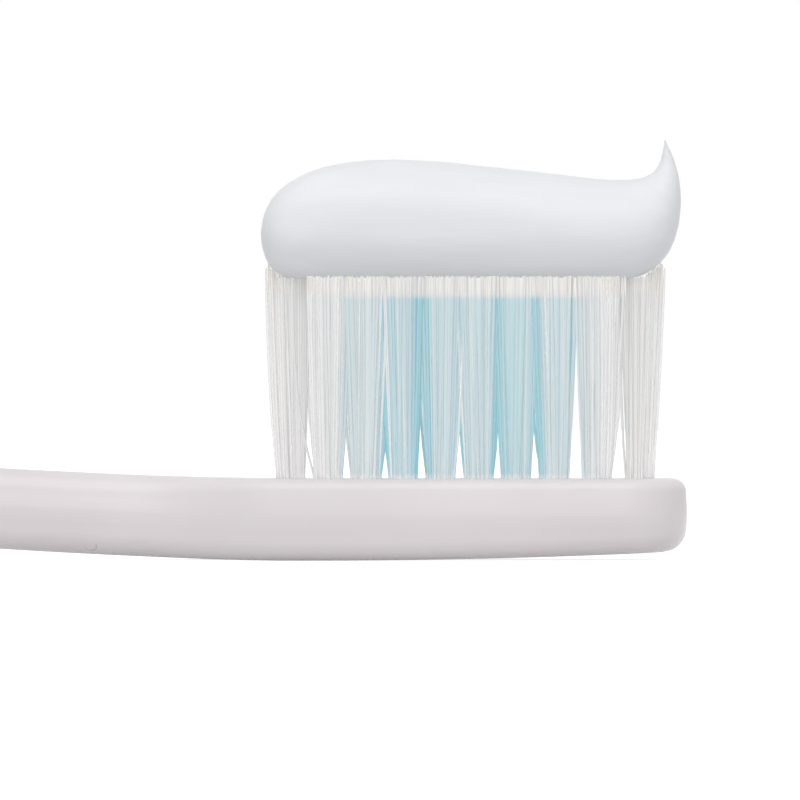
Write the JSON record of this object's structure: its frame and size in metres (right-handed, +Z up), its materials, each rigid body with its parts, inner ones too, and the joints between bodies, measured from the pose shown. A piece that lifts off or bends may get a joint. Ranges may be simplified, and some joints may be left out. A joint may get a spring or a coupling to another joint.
{
  "type": "toothbrush with toothpaste",
  "caption": "Manual toothbrush with a slim drafted handle, upright tufts in clear and aqua nylon, and a strip of white toothpaste along the bristle ends.",
  "frame": {"origin": "under the middle of the brush, on the surface that it lies on", "axes": "+X along the brush from the tail of the handle to the tip of the head, +Y across it, +Z up, the way the bristles point"},
  "size_m": [0.18, 0.0124, 0.0228],
  "materials": {
    "handle_plastic": "white moulded polypropylene, satin",
    "anchor_brass": "flat wire, bright",
    "toothpaste": "soft white paste, moist sheen",
    "clear_bristles": "clear nylon filaments",
    "aqua_bristles": "aqua nylon filaments"
  },
  "bodies": {
    "root": {"handle": "handle_plastic", "tuft_anchors": "anchor_brass", "toothpaste": "toothpaste", "tuft_right_2": "clear_bristles", "tuft_right_3": "clear_bristles", "tuft_right_4": "clear_bristles", "tuft_right_5": "clear_bristles", "tuft_right_6": "clear_bristles", "tuft_right_7": "clear_bristles", "tuft_right_8": "clear_bristles", "tuft_right_9": "clear_bristles", "tuft_middle_1": "clear_bristles", "tuft_middle_2": "clear_bristles", "tuft_middle_3": "aqua_bristles", "tuft_middle_4": "aqua_bristles", "tuft_middle_5": "aqua_bristles", "tuft_middle_6": "aqua_bristles", "tuft_middle_7": "aqua_bristles", "tuft_middle_8": "aqua_bristles", "tuft_middle_9": "clear_bristles", "tuft_middle_10": "clear_bristles", "tuft_left_2": "clear_bristles", "tuft_left_3": "clear_bristles", "tuft_left_4": "clear_bristles", "tuft_left_5": "clear_bristles", "tuft_left_6": "clear_bristles", "tuft_left_7": "clear_bristles", "tuft_left_8": "clear_bristles", "tuft_left_9": "clear_bristles"}
  },
  "joints": []
}
